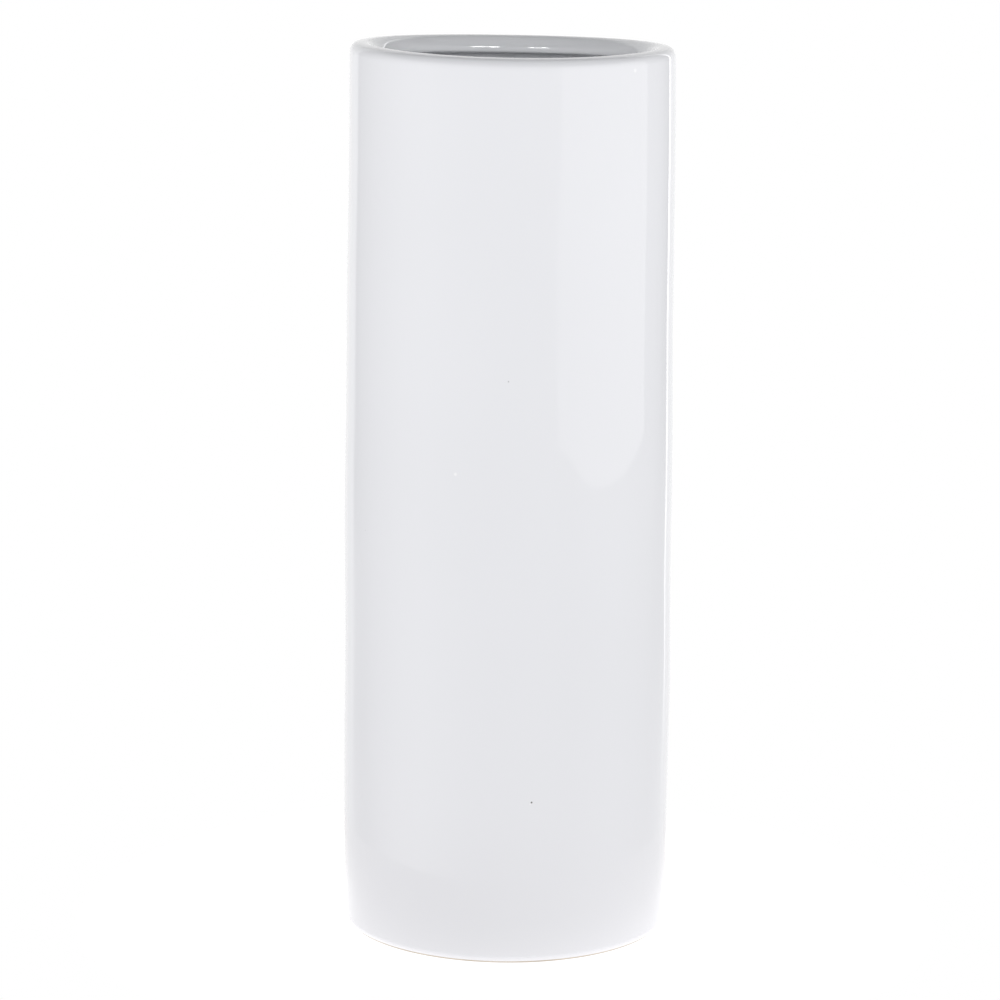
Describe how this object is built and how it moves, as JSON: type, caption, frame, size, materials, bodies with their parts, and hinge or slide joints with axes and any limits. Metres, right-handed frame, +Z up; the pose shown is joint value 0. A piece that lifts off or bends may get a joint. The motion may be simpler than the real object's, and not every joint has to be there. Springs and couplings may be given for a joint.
{
  "type": "ceramic cylinder vase",
  "caption": "Tall straight white glazed ceramic cylinder vase with a rounded, thickened rim and a bare foot ring.",
  "frame": {"origin": "centre of the foot ring, on the surface that the vase stands on", "axes": "+Z up along the vase's axis towards its mouth; the vase is round, so +X and +Y are any two square directions across it"},
  "size_m": [0.1132, 0.1132, 0.3048],
  "materials": {
    "bisque_clay": "matt, fine-grained",
    "white_gloss_glaze": "gloss",
    "poured_inner_glaze": "gloss",
    "underside_glaze": "satin gloss"
  },
  "bodies": {
    "root": {"clay_body": "bisque_clay", "outer_glaze": "white_gloss_glaze", "inner_glaze": "poured_inner_glaze", "underside_glaze": "underside_glaze"}
  },
  "joints": []
}
